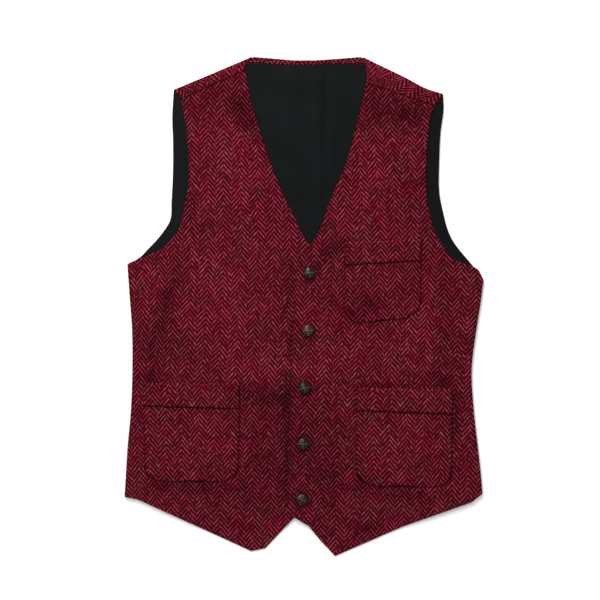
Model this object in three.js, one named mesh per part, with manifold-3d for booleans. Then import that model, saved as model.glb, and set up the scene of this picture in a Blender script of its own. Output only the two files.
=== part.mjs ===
// A man's suit vest in herringbone tweed: V neck, five leather knot buttons, one chest and two hip
// patch pockets. It lies flat on its back, buttoned, with the wearer's left front lapped over the right.
// Millimetres. +X is the wearer's left, +Y is towards the neck, +Z is up off the surface it lies on.
//
// Every cloth piece is a wall of even thickness about a middle surface. A panel's middle surface is a
// stack of sections numbered from the hem up: section 0 is the hem, the last is the shoulder, and each
// runs from a point on the panel's left edge to the point of the same number on its right edge.
import * as THREE from "three";
import Module from "manifold-3d";
import { mergeVertices } from "three/addons/utils/BufferGeometryUtils.js";

// Thicknesses. The tweed counts with its canvas, facing and lining, which don't show.
const CLOTH = 1.8;
const SATIN = 1.0;
const BAND = 1.2;
const POCKET = 1.2;
const POCKET_CUFF = 1.9;
const GAP = 0.3;

// Heights of the middle surfaces of the layers, as they lie on each other.
const BACK_Z = CLOTH / 2;
const LINING_Z = CLOTH + GAP + SATIN / 2;
const BAND_Z = CLOTH + GAP + BAND / 2;
const FRONT_Z = CLOTH + GAP + SATIN + GAP + CLOTH / 2;
const LAP_RISE = CLOTH + 2 * GAP;

// The side seams and the shoulders are soft folds: a half circle between the back and the front.
const FOLD_R = (FRONT_Z - BACK_Z) / 2;
const FOLD_Z = (FRONT_Z + BACK_Z) / 2;
const FOLD_AXIS = FOLD_R + CLOTH / 2;

// Outlines, from the hem up. The side and armhole edges end at the shoulder.
const RIGHT_SIDE = [
  [-252, -267], [-250.5, -243], [-248, -201], [-243, -145], [-241, -86], [-241.5, -33],
  [-245, 16], [-248, 58.5], [-232.5, 65.5], [-219, 71.5], [-201.5, 80], [-190.5, 89], [-177, 105.5],
  [-167.5, 139.5], [-161.5, 184], [-162.5, 219], [-165, 247], [-168.5, 271], [-172.2, 290.7],
];
const RIGHT_EDGE = [
  [18, -262.5], [19, -237.5], [19.5, -201], [21, -147.5], [22.5, -89], [24.5, -30], [26, 16],
  [26.5, 48.5], [24, 57.5], [17, 69.5], [8, 85.5], [-0.5, 98.5], [-11, 121], [-28, 156],
  [-41.5, 187.5], [-53, 219], [-65, 257], [-74, 288.5], [-82.1, 332.2],
];
const LEFT_EDGE = [
  [-24.5, -278], [-25, -243], [-24, -201], [-22, -145], [-19, -75], [-16, -12], [-13, 26],
  [-11, 49.5], [-6.5, 68.5], [0.5, 78], [8, 85.5], [17.5, 98.5], [26.5, 121], [40.5, 159],
  [55.5, 192.5], [64.5, 220.5], [74, 257], [81, 286.5], [87, 314.2],
];
const LEFT_SIDE = [
  [250.5, -262.5], [249, -243], [244.5, -201], [238.5, -147.5], [235.5, -86], [242, -33],
  [248.5, 9], [252, 37], [243, 52.5], [227, 59], [213, 65], [200, 77.5], [187, 98.5], [174, 138],
  [171, 188.5], [172, 223.5], [174.5, 245.5], [178.5, 269.5], [184, 281],
];
const BACK_RIGHT = [
  [-252, -267], [-250.5, -243], [-248, -201], [-243, -145], [-241, -86], [-241.5, -33],
  [-245, 16], [-248, 59], [-229.5, 69.5], [-219, 80.5], [-207, 93], [-196, 107], [-188.5, 119.5],
  [-186, 149], [-184, 191], [-184, 233], [-185, 268], [-183.2, 303],
];
const BACK_LEFT = [
  [250.5, -262.5], [249, -243], [244.5, -201], [238.5, -147.5], [235.5, -86], [242, -33],
  [248.5, 9], [252, 38.5], [232.5, 62.5], [218.5, 79], [208.5, 93], [201.5, 108.5], [195.5, 131],
  [190.5, 156], [190, 205], [192, 247], [196, 282], [195.5, 297.5],
];
const UNDERARM = 7; // the section at which the side seam ends and the armhole starts
const RIGHT_HEM = [
  [-252, -267], [-232.5, -271], [-74, -343.5], [-54.5, -339.5], [-13, -295.5], [10, -275],
  [18, -262.5],
];
const LEFT_HEM = [
  [-24.5, -278], [-13, -296], [6.5, -308], [21.5, -327], [43.5, -350.5], [140, -308.5],
  [234.5, -275], [250.5, -262.5],
];
const HEM_FADE = 3; // sections over which the hem's shape eases out into the panel

// Neck and shoulders.
const NECK_EDGE = [[-72, 350.5], [-43, 348], [-14, 345.5], [15, 345.5], [38, 347], [81.5, 350.5]];
const BAND_LOW = [[-80, 342.9], [-54.5, 341.5], [-31.5, 339.3], [3, 338.5], [38, 340.5], [88, 341.5]];
const RIGHT_FOLD = [[-183, 304], [-128, 327], [-72, 350.5]];
const LEFT_FOLD = [[195.5, 298], [169.5, 306.5], [148, 318], [81.5, 350.5]];
const RIGHT_SEAM = [[-172, 291], [-82, 332.5]];
const LEFT_SEAM = [[184, 281.4], [87, 314.5]];
const NECK_BOW = 3; // how far the strap's neck end bows out of a straight line
const OVERLAP = 4; // how far the shoulder wrap runs on into the back

// Hems: the fronts' points hang below the back's hem and rest on the surface.
const FRONT_LANDS = [-322, -280];
const LINING_HEM = 0.35; // section at which the lining ends

// The lap: where the left front comes down again, across and at its lower and upper ends.
const LAP_FALLS = [30, 50];
const LAP_STARTS = [-326, -297];
const LAP_ENDS = [88, 130];

// The largest soft folds of the fronts: from, to, spread and height.
const SWELLS = [
  [-208, 30, -206, -52, 24, 2.4],
  [-92, 262, -122, 128, 27, 2.0],
  [-62, 34, -56, -190, 20, 1.2],
  [128, 240, 132, 152, 26, 2.0],
  [198, 6, 206, -56, 24, 2.0],
  [46, 30, 40, -215, 22, 1.1],
];
const PLEAT = { x: 19, spread: 7, high: 1.0 }; // the lining's centre-back ease pleat, in the open neck

// Patch pockets: the cuff's four corners, the bag's two lower corners and their radius.
const POCKETS = {
  chest_pocket: {
    top: [[57.5, 89.5], [164, 94]], seam: [[56, 57.5], [164.5, 63.5]], low: [[56, -23], [163, -12]],
    radius: 19,
  },
  hip_pocket_right: {
    top: [[-225, -107.5], [-90.5, -108]], seam: [[-225.5, -140], [-89.5, -144]],
    low: [[-224, -242.5], [-92.5, -243.5]], radius: 20,
  },
  hip_pocket_left: {
    top: [[73, -114.5], [208.5, -116.5]], seam: [[72, -146.5], [208, -151.5]],
    low: [[74, -249], [207, -251.5]], radius: 20,
  },
};

// Buttons: half balls of plaited leather, top to bottom.
const BUTTONS = [[7.5, 47], [5.5, -33.5], [0.5, -114], [-1.5, -192], [-3, -270]];
const BUTTON_R = 8.4;
const BUTTON_HIGH = 7.2;

const TWEED = { color: 0x571a25, roughness: 0.95, metalness: 0 };
const BLACK_SATIN = { color: 0x1b1b1d, roughness: 0.6, metalness: 0 };
const LEATHER = { color: 0x2e1d18, roughness: 0.4, metalness: 0 };

const smooth = (from, to, x) => THREE.MathUtils.smoothstep(x, from, to);
const mix = (a, b, k) => a + (b - a) * k;

// The height of a chain of straight lines at x, for points in rising or falling order of x.
function lineY(points, x) {
  const up = points[0][0] < points.at(-1)[0] ? points : [...points].reverse();
  let i = 0;
  while (i < up.length - 2 && x > up[i + 1][0]) i += 1;
  const k = (x - up[i][0]) / (up[i + 1][0] - up[i][0]);
  return mix(up[i][1], up[i + 1][1], THREE.MathUtils.clamp(k, 0, 1));
}

// A smooth curve through the points, read by point number: each span is a Hermite curve whose end
// directions follow the neighbouring chords, the nearer one more, or at a corner its own chord.
function curveAt(points, t, corner) {
  const i = Math.min(Math.floor(t), points.length - 2);
  const s = t - i;
  const at = (n) => new THREE.Vector2(...points[THREE.MathUtils.clamp(n, 0, points.length - 1)]);
  const chord = at(i + 1).sub(at(i));
  const span = chord.length();
  const heading = (n) => {
    if (n === corner) return chord.clone().normalize();
    const before = at(n).sub(at(n - 1));
    const after = at(n + 1).sub(at(n));
    if (before.length() === 0) return after.normalize();
    if (after.length() === 0) return before.normalize();
    const near = before.length() / after.length();
    return before.multiplyScalar(1 / near).add(after.multiplyScalar(near)).normalize();
  };
  const h01 = s * s * (3 - 2 * s);
  const h10 = s * (1 - s) * (1 - s);
  const h11 = s * s * (s - 1);
  return at(i).addScaledVector(chord, h01)
    .addScaledVector(heading(i), h10 * span)
    .addScaledVector(heading(i + 1), h11 * span);
}

// A line between two points, or a chain of them, read from 0 to 1.
function along(points, k) {
  return curveAt(points, k * (points.length - 1));
}

// The extra height of the fronts' soft folds, which die out at the side seams.
function swell(x, y) {
  let high = 0;
  for (const [x0, y0, x1, y1, spread, top] of SWELLS) {
    const dx = x1 - x0;
    const dy = y1 - y0;
    const k = THREE.MathUtils.clamp(((x - x0) * dx + (y - y0) * dy) / (dx * dx + dy * dy), 0, 1);
    const off = Math.hypot(x - x0 - k * dx, y - y0 - k * dy) / spread;
    high += top * Math.exp(-off * off);
  }
  return high * (1 - smooth(216, 246, Math.abs(x)));
}

// The middle height of a front: on the back and its lining, and down on the surface past their hems.
function frontZ(x, y) {
  const lies = smooth(...FRONT_LANDS, y);
  return mix(BACK_Z, FRONT_Z + swell(x, y), lies);
}

// The left front also rises over the right one, as far as just past the right one's edge.
function leftFrontZ(x, y) {
  const lapped = (1 - smooth(...LAP_FALLS, x)) * (1 - smooth(...LAP_ENDS, y)) * smooth(...LAP_STARTS, y);
  return frontZ(x, y) + LAP_RISE * lapped;
}

// The direction of a line of points at one of them. At an end it goes on turning as the line does.
function headingAt(line, n) {
  const last = line.length - 1;
  const from = (a, b) => line[b].clone().sub(line[a]).normalize();
  if (n > 0 && n < last) return line[n + 1].clone().sub(line[n - 1]);
  if (last === 1) return from(0, 1);
  if (n === 0) return from(0, 1).multiplyScalar(2).sub(from(0, 2));
  return from(last - 1, last).multiplyScalar(2).sub(from(last - 2, last));
}

// A closed wall about a grid of middle points. The faces are turned out at the end.
function wall(grid, thick) {
  const rows = grid.length;
  const cols = grid[0].length;
  const columns = grid[0].map((_, j) => grid.map((row) => row[j]));
  const places = [];
  for (const side of [thick / 2, -thick / 2]) {
    for (let i = 0; i < rows; i += 1) {
      for (let j = 0; j < cols; j += 1) {
        const normal = headingAt(grid[i], j).cross(headingAt(columns[j], i)).normalize();
        places.push(grid[i][j].clone().addScaledVector(normal, side));
      }
    }
  }
  const top = (i, j) => i * cols + j;
  const under = (i, j) => rows * cols + top(i, j);
  const faces = [];
  const quad = (a, b, c, d) => faces.push([a, b, c], [a, c, d]);
  for (let i = 0; i < rows - 1; i += 1) {
    for (let j = 0; j < cols - 1; j += 1) {
      quad(top(i, j), top(i, j + 1), top(i + 1, j + 1), top(i + 1, j));
      quad(under(i, j), under(i + 1, j), under(i + 1, j + 1), under(i, j + 1));
    }
  }
  for (let j = 0; j < cols - 1; j += 1) {
    quad(under(0, j), under(0, j + 1), top(0, j + 1), top(0, j));
    quad(under(rows - 1, j + 1), under(rows - 1, j), top(rows - 1, j), top(rows - 1, j + 1));
  }
  for (let i = 0; i < rows - 1; i += 1) {
    quad(under(i + 1, 0), under(i, 0), top(i, 0), top(i + 1, 0));
    quad(under(i, cols - 1), under(i + 1, cols - 1), top(i + 1, cols - 1), top(i, cols - 1));
  }
  const volume = faces.reduce((sum, [a, b, c]) => {
    const turn = places[b].clone().cross(places[c]);
    return sum + places[a].dot(turn);
  }, 0);
  const index = faces.flatMap((f) => (volume > 0 ? f : [...f].reverse()));
  const geometry = new THREE.BufferGeometry();
  geometry.setAttribute("position", new THREE.Float32BufferAttribute(places.flatMap((p) => p.toArray()), 3));
  geometry.setIndex(index);
  return geometry;
}

// Columns next to an edge, as [distance in, height]: on a free edge, and where it turns into a fold.
const FREE_COLUMNS = [[0, 0], [0.7, 0], [1.4, 0], [2.6, 0]];
const FOLD_ANGLES = [Math.asin(GAP / 2 / FOLD_R), Math.PI / 6, Math.PI / 3, Math.PI / 2];
const FOLD_COLUMNS = FOLD_ANGLES.map((a) => [
  FOLD_AXIS - FOLD_R * Math.cos(a), FOLD_R * (Math.sin(a) - 1),
]);

// A panel through its sections. left and right are its edges, rows the section numbers, columns the
// shares of the width at which it has points. hem and top give the outline that the first and the last
// section bend to. foldLeft and foldRight say how far an edge turns down (-1) or up (1) into a fold.
function panel(spec) {
  const { left, right, rows, columns, hem, top, topFade, z, foldLeft, foldRight, insetOf } = spec;
  const first = rows[0];
  const last = rows.at(-1);
  const grid = rows.map((t) => {
    const a = curveAt(left, t, foldLeft && UNDERARM);
    const b = curveAt(right, t, foldRight && UNDERARM);
    const inward = b.clone().sub(a).normalize();
    const inset = insetOf ? insetOf(t) : 0;
    const start = a.clone().addScaledVector(inward, inset);
    const end = b.clone().addScaledVector(inward, -inset);
    const turned = 1 - smooth(UNDERARM, UNDERARM + 0.7, t);
    const spots = [];
    const edge = (from, sign, way) => FREE_COLUMNS.map(([free, flat], n) => {
      const [fold, high] = FOLD_COLUMNS[n];
      const place = from.clone().addScaledVector(inward, sign * mix(free, fold, turned));
      return { place, share: sign > 0 ? 0 : 1, high: mix(flat, -high * way, turned) };
    });
    if (foldLeft) spots.push(...edge(start, 1, foldLeft));
    for (const share of columns) spots.push({ place: start.clone().lerp(end, share), share, high: 0 });
    if (foldRight) spots.push(...edge(end, -1, foldRight).reverse());
    const low = hem ? 1 - smooth(first, first + HEM_FADE, t) : 0;
    const high = top ? smooth(last - topFade, last, t) : 0;
    return spots.map((spot) => {
      const { x } = spot.place;
      let { y } = spot.place;
      if (low > 0) y += low * bend(left, right, first, spot.share, hem);
      if (high > 0) y += high * bend(left, right, last, spot.share, top);
      return new THREE.Vector3(x, y, z(x, y) + spot.high);
    });
  });
  return grid;
}

// How far an outline lies from the straight section t at a share of its width.
function bend(left, right, t, share, outline) {
  const on = curveAt(left, t).lerp(curveAt(right, t), share);
  return lineY(outline, on.x) - on.y;
}

const steps = (from, to, count) => Array.from({ length: count + 1 }, (_, i) => mix(from, to, i / count));

// The fronts. Their columns include the corners of the hem.
const FRONT_ROWS = [
  ...steps(0, HEM_FADE, 7), 4, 5, 6, UNDERARM, 7.35, 8, 9, 10, 11, 12, 13, 14, 15, 16, 17, 18,
];
const shares = (hem) => hem.slice(1, -1).map(([x]) => (x - hem[0][0]) / (hem.at(-1)[0] - hem[0][0]));

function rightFront() {
  const [side, tip, turn, notch, corner] = shares(RIGHT_HEM);
  const columns = [side, ...steps(0.18, 0.55, 3), tip, turn, 0.81, notch, corner, 1];
  return wall(panel({
    left: RIGHT_SIDE, right: RIGHT_EDGE, rows: FRONT_ROWS, columns, hem: RIGHT_HEM, z: frontZ,
    foldLeft: -1,
  }), CLOTH);
}

function leftFront() {
  const [corner, notch, turn, tip, low, side] = shares(LEFT_HEM);
  const columns = [0, corner, notch, turn, tip, 0.36, 0.47, low, 0.7, 0.82, side];
  return wall(panel({
    left: LEFT_EDGE, right: LEFT_SIDE, rows: FRONT_ROWS, columns, hem: LEFT_HEM, z: leftFrontZ,
    foldRight: -1,
  }), CLOTH);
}

// The back, cut in one. It stops short of the shoulder folds, where the wraps take over.
const SLOPE = 1.09; // distance along Y for each millimetre square to the shoulder fold
const backTop = [
  ...RIGHT_FOLD.slice(0, 2).map(([x, y]) => [x, y - OVERLAP * SLOPE]), [-74, 345.3], [-70.5, 350.2],
  ...NECK_EDGE.slice(1, -1), [80, 350.2], [83.5, 345.2],
  ...LEFT_FOLD.slice(0, -1).reverse().map(([x, y]) => [x, y - OVERLAP * SLOPE]),
];
const BACK_ROWS = [0, 1, 2, 3, 4, 5, 6, UNDERARM, 7.35, 8, 9, 10, 11, 12, 13, 14, 15, 16, 17];
const BACK_TOP_FADE = 3;
const topShare = (x) => (x - BACK_RIGHT.at(-1)[0]) / (BACK_LEFT.at(-1)[0] - BACK_RIGHT.at(-1)[0]);

// A shoulder wrap: the back's cloth carried round the fold and forward to the front's seam. The rows
// go round the fold, and the columns run from the armhole end to the neck end.
function shoulderWrap(fold, seam, bow) {
  const turns = steps(-90, 90, 6).map((angle) => {
    const a = THREE.MathUtils.degToRad(angle);
    return { over: angle > 0, in: FOLD_AXIS - FOLD_R * Math.cos(a), z: FOLD_Z + FOLD_R * Math.sin(a) };
  });
  const profile = [
    { over: false, in: OVERLAP * 2.5, z: BACK_Z }, ...turns,
    ...[0.35, 0.65, 1].map((share) => ({ over: true, share, z: FRONT_Z })),
  ];
  return profile.map((p) => steps(0, 1, 8).map((s) => {
    const edge = along(fold, s);
    const reach = along(seam, s).sub(edge);
    const wide = reach.length();
    const way = p.over ? reach.normalize() : new THREE.Vector2(0, -1);
    const inward = p.share ? mix(FOLD_AXIS, wide, p.share) : p.in * SLOPE;
    const place = edge.clone().addScaledVector(way, inward);
    const out = p.share ? 4 * p.share * (1 - p.share) : 0;
    place.x += bow * out * s ** 4;
    return new THREE.Vector3(place.x, place.y, p.z);
  }));
}

const wasm = await Module();
wasm.setup();

function solid(geometry) {
  const bare = new THREE.BufferGeometry();
  bare.setAttribute("position", geometry.getAttribute("position"));
  bare.setIndex(geometry.index);
  const merged = mergeVertices(bare, 1e-3);
  const mesh = new wasm.Mesh({
    numProp: 3,
    vertProperties: new Float32Array(merged.getAttribute("position").array),
    triVerts: new Uint32Array(merged.index.array),
  });
  return new wasm.Manifold(mesh);
}

function joined(pieces) {
  const mesh = pieces.map(solid).reduce((whole, piece) => whole.add(piece)).getMesh();
  const geometry = new THREE.BufferGeometry();
  geometry.setAttribute("position", new THREE.BufferAttribute(mesh.vertProperties, 3));
  geometry.setIndex(new THREE.BufferAttribute(mesh.triVerts, 1));
  return geometry;
}

function back() {
  const corners = [-128, -74, -70.5, -43, -14, 15, 38, 80, 83.5, 148, 169.5].map(topShare);
  const body = wall(panel({
    left: BACK_RIGHT, right: BACK_LEFT, rows: BACK_ROWS, columns: corners, top: backTop,
    topFade: BACK_TOP_FADE, z: () => BACK_Z, foldLeft: 1, foldRight: 1,
  }), CLOTH);
  const wrapThickness = CLOTH - 0.1;
  const wraps = [
    shoulderWrap(RIGHT_FOLD, RIGHT_SEAM, -NECK_BOW), shoulderWrap(LEFT_FOLD, LEFT_SEAM, NECK_BOW),
  ];
  return joined([body, ...wraps.map((grid) => wall(grid, wrapThickness))]);
}

// The lining lies inside the fold at the sides, clear of its end at the underarm, and reaches almost
// to the back's armhole edges.
const liningInset = (t) => {
  const corner = smooth(6, 6.8, t) * (1 - smooth(7.6, 8.4, t));
  return mix(4.4, 1, smooth(UNDERARM + 1, UNDERARM + 2, t)) + 6 * corner;
};

function backLining() {
  const clear = (FOLD_AXIS + 2.4) * SLOPE;
  const top = [
    ...RIGHT_FOLD.slice(0, 2).map(([x, y]) => [x, y - clear]), [-80, 340.5],
    ...BAND_LOW.slice(1, -1).map(([x, y]) => [x, y - GAP]), [88, 339.5],
    ...LEFT_FOLD.slice(0, -1).reverse().map(([x, y]) => [x, y - clear]),
  ];
  const columns = [0, ...[-150, -110, -80, -54.5, -31.5, -8, 5, 19, 33, 60, 88, 118, 148].map(topShare), 1];
  const open = (y) => smooth(130, 175, y) * (1 - smooth(318, 336, y));
  const z = (x, y) => LINING_Z + PLEAT.high * Math.exp(-(((x - PLEAT.x) / PLEAT.spread) ** 2)) * open(y);
  return wall(panel({
    left: BACK_RIGHT, right: BACK_LEFT, rows: [LINING_HEM, ...BACK_ROWS.slice(1)], columns, top,
    topFade: BACK_TOP_FADE, z, insetOf: liningInset,
  }), SATIN);
}

function neckBand() {
  const ends = [BAND_LOW[0][0] + 1, BAND_LOW.at(-1)[0]];
  const folds = [RIGHT_FOLD, LEFT_FOLD];
  const under = (x) => Math.min(...folds.map((f) => lineY(f, x))) - (FOLD_AXIS + 1) * SLOPE;
  const top = (x) => (x < NECK_EDGE[0][0] || x > NECK_EDGE.at(-1)[0] ? under(x) : lineY(NECK_EDGE, x) - 0.4);
  const xs = [ends[0], -75.5, -72.1, -70.7, ...steps(-57, 66, 8), 80, 81.6, 84.5, ends[1]];
  const grid = [0, 1].map((up) => xs.map((x) => {
    const y = mix(lineY(BAND_LOW, x), top(x), up);
    return new THREE.Vector3(x, y, BAND_Z);
  }));
  return wall(grid, BAND);
}

// A patch pocket lies on its front: its points are the front's, moved out. The bag's lower corners are
// quarter circles, worked out as an inset that grows over the last rows.
function pocketBag({ seam, low, radius }, panelZ) {
  const depth = seam[0][1] - low[0][1];
  const turn = steps(0, 90, 4).map((a) => THREE.MathUtils.degToRad(a));
  const rows = [
    ...steps(0.01, 1 - radius / depth, 3).slice(0, -1).map((down) => ({ down, inset: 0 })),
    ...turn.map((a) => ({ down: 1 - (radius / depth) * (1 - Math.sin(a)), inset: radius * (1 - Math.cos(a)) })),
  ];
  return rows.map(({ down, inset }) => {
    const a = new THREE.Vector2(...seam[0]).lerp(new THREE.Vector2(...low[0]), down);
    const b = new THREE.Vector2(...seam[1]).lerp(new THREE.Vector2(...low[1]), down);
    const wide = a.distanceTo(b);
    return steps(inset / wide, 1 - inset / wide, 8).map((k) => {
      const p = a.clone().lerp(b, k);
      return new THREE.Vector3(p.x, p.y, panelZ(p.x, p.y) + CLOTH / 2 + GAP + POCKET / 2);
    });
  });
}

function pocketCuff({ top, seam }, panelZ) {
  const seamGap = GAP / (top[0][1] - seam[0][1]);
  return [0, 0.5, 1 - seamGap].map((down) => {
    const a = new THREE.Vector2(...top[0]).lerp(new THREE.Vector2(...seam[0]), down);
    const b = new THREE.Vector2(...top[1]).lerp(new THREE.Vector2(...seam[1]), down);
    return steps(0, 1, 8).map((k) => {
      const p = a.clone().lerp(b, k);
      return new THREE.Vector3(p.x, p.y, panelZ(p.x, p.y) + CLOTH / 2 + GAP + POCKET_CUFF / 2);
    });
  });
}

// A leather knot button: a turned half ball with an undercut rim.
function button() {
  const dome = steps(0, 90, 6).map((angle) => {
    const a = THREE.MathUtils.degToRad(angle);
    const rim = 2.4;
    return new THREE.Vector2(BUTTON_R * Math.cos(a), rim + (BUTTON_HIGH - rim) * Math.sin(a));
  });
  dome[dome.length - 1].x = 0;
  const profile = [new THREE.Vector2(0, 0), new THREE.Vector2(BUTTON_R * 0.7, 0), ...dome];
  return new THREE.LatheGeometry(profile, 24).rotateX(Math.PI / 2);
}

const vest = new THREE.Group();

function add(name, geometry, look, place) {
  const mesh = new THREE.Mesh(geometry, new THREE.MeshStandardMaterial(look));
  mesh.name = name;
  if (place) mesh.position.set(...place);
  vest.add(mesh);
}

add("back", back(), TWEED);
add("back_lining", backLining(), BLACK_SATIN);
add("back_neck_band", neckBand(), TWEED);
add("front_right", rightFront(), TWEED);
add("front_left", leftFront(), TWEED);
for (const [name, pocket] of Object.entries(POCKETS)) {
  const panelZ = pocket.top[0][0] < 0 ? frontZ : leftFrontZ;
  add(name, wall(pocketBag(pocket, panelZ), POCKET), TWEED);
  add(`${name}_cuff`, wall(pocketCuff(pocket, panelZ), POCKET_CUFF), TWEED);
}
BUTTONS.forEach(([x, y], n) => {
  add(`button_${n + 1}`, button(), LEATHER, [x, y, leftFrontZ(x, y) + CLOTH / 2 + GAP]);
});

export default vest;
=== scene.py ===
"""A man's herringbone tweed vest, buttoned and laid flat on its back, finished for rendering.

Lengths in the tables are millimetres in the vest's own frame, and turn to metres as a mesh is made.
Each cloth piece is a closed shell about a grid of middle points. A panel's grid runs across numbered
sections, from its left edge to its right edge, with section 0 at the hem and the last at the shoulder.
"""
import math

import bpy
import numpy as np
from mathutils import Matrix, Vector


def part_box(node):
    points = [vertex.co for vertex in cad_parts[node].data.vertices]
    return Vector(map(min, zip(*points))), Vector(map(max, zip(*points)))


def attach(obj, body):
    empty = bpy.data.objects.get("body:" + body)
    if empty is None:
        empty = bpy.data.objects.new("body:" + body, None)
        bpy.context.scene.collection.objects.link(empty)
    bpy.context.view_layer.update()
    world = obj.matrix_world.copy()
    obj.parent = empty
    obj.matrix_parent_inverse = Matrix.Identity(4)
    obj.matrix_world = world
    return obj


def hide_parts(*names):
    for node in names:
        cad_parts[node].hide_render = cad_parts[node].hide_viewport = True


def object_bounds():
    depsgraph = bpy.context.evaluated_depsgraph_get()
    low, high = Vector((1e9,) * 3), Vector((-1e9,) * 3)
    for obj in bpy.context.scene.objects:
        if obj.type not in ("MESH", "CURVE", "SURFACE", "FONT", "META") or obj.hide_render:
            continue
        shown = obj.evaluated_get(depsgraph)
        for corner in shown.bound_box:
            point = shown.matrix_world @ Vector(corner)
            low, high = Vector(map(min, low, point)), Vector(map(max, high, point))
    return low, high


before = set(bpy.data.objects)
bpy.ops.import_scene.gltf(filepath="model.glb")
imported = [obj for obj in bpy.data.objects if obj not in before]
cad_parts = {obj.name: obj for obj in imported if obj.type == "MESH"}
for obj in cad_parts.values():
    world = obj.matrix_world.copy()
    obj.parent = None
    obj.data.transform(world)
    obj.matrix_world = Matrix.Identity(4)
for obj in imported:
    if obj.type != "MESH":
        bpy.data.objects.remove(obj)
cad_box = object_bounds()

MM = 0.001

# Thicknesses of the cloths, and the gap at a seam.
CLOTH = 1.8
SATIN = 1.0
BAND = 1.2
POCKET = 1.2
POCKET_CUFF = 1.9
GAP = 0.3

# Heights of the layers' middle surfaces, and the soft fold at the side seams and shoulders.
BACK_Z = CLOTH / 2
LINING_Z = CLOTH + GAP + SATIN / 2
BAND_Z = CLOTH + GAP + BAND / 2
FRONT_Z = CLOTH + GAP + SATIN + GAP + CLOTH / 2
LAP_RISE = CLOTH + 2 * GAP
FOLD_R = (FRONT_Z - BACK_Z) / 2
FOLD_Z = (FRONT_Z + BACK_Z) / 2
FOLD_AXIS = FOLD_R + CLOTH / 2

# The panels' edges, from the hem up.
RIGHT_SIDE = [
    (-252, -267), (-250.5, -243), (-248, -201), (-243, -145), (-241, -86), (-241.5, -33),
    (-245, 16), (-248, 58.5), (-232.5, 65.5), (-219, 71.5), (-201.5, 80), (-190.5, 89), (-177, 105.5),
    (-167.5, 139.5), (-161.5, 184), (-162.5, 219), (-165, 247), (-168.5, 271), (-172.2, 290.7),
]
RIGHT_EDGE = [
    (18, -262.5), (19, -237.5), (19.5, -201), (21, -147.5), (22.5, -89), (24.5, -30), (26, 16),
    (26.5, 48.5), (24, 57.5), (17, 69.5), (8, 85.5), (-0.5, 98.5), (-11, 121), (-28, 156),
    (-41.5, 187.5), (-53, 219), (-65, 257), (-74, 288.5), (-82.1, 332.2),
]
LEFT_EDGE = [
    (-24.5, -278), (-25, -243), (-24, -201), (-22, -145), (-19, -75), (-16, -12), (-13, 26),
    (-11, 49.5), (-6.5, 68.5), (0.5, 78), (8, 85.5), (17.5, 98.5), (26.5, 121), (40.5, 159),
    (55.5, 192.5), (64.5, 220.5), (74, 257), (81, 286.5), (87, 314.2),
]
LEFT_SIDE = [
    (250.5, -262.5), (249, -243), (244.5, -201), (238.5, -147.5), (235.5, -86), (242, -33),
    (248.5, 9), (252, 37), (243, 52.5), (227, 59), (213, 65), (200, 77.5), (187, 98.5), (174, 138),
    (171, 188.5), (172, 223.5), (174.5, 245.5), (178.5, 269.5), (184, 281),
]
BACK_RIGHT = RIGHT_SIDE[:7] + [
    (-248, 59), (-229.5, 69.5), (-219, 80.5), (-207, 93), (-196, 107), (-188.5, 119.5),
    (-186, 149), (-184, 191), (-184, 233), (-185, 268), (-183.2, 303),
]
BACK_LEFT = LEFT_SIDE[:7] + [
    (252, 38.5), (232.5, 62.5), (218.5, 79), (208.5, 93), (201.5, 108.5), (195.5, 131),
    (190.5, 156), (190, 205), (192, 247), (196, 282), (195.5, 297.5),
]
UNDERARM = 7  # the section where the side seam ends
RIGHT_HEM = [(-252, -267), (-232.5, -271), (-74, -343.5), (-54.5, -339.5), (-13, -295.5), (10, -275),
             (18, -262.5)]
LEFT_HEM = [(-24.5, -278), (-13, -296), (6.5, -308), (21.5, -327), (43.5, -350.5), (140, -308.5),
            (234.5, -275), (250.5, -262.5)]
FADE = 3  # sections over which the outline of a hem or neck eases out into its panel

# Neck and shoulders.
NECK_EDGE = [(-72, 350.5), (-43, 348), (-14, 345.5), (15, 345.5), (38, 347), (81.5, 350.5)]
BAND_LOW = [(-80, 342.9), (-54.5, 341.5), (-31.5, 339.3), (3, 338.5), (38, 340.5), (88, 341.5)]
RIGHT_FOLD = [(-183, 304), (-128, 327), (-72, 350.5)]
LEFT_FOLD = [(195.5, 298), (169.5, 306.5), (148, 318), (81.5, 350.5)]
RIGHT_SEAM = [(-172, 291), (-82, 332.5)]
LEFT_SEAM = [(184, 281.4), (87, 314.5)]
NECK_BOW = 3  # how far a shoulder wrap's neck end bows outward
OVERLAP = 4  # how far the back's body stops short of a shoulder's fold
SLOPE = 1.09  # a length square to a shoulder is this much longer along Y

# Spans over which a height changes: along Y where the fronts come down on the table past the back's hem,
# then along X and Y where the upper front comes down beside its lap and at the lap's two ends.
FRONT_LANDS = (-322, -280)
LAP_FALLS = (30, 50)
LAP_STARTS = (-326, -297)
LAP_ENDS = (88, 130)
LINING_HEM = 0.35  # the section where the lining starts
SIDE_OPENS = (UNDERARM, UNDERARM + 0.7)  # sections over which the side seam's fold dies away

# How far the lining stops short of the back's edge in the side's fold and along the armhole, and how
# much further it does round the underarm.
SHORT_OF_SIDE = 4.4
SHORT_OF_ARMHOLE = 0.4
SHORT_AT_UNDERARM = 6

# Steps of the panels' grids, up and across.
FRONT_STEPS = (3.4, 3.0)
BACK_STEPS = (4.2, 4.2)
LINING_STEPS = (4.4, 3.6)

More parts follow.
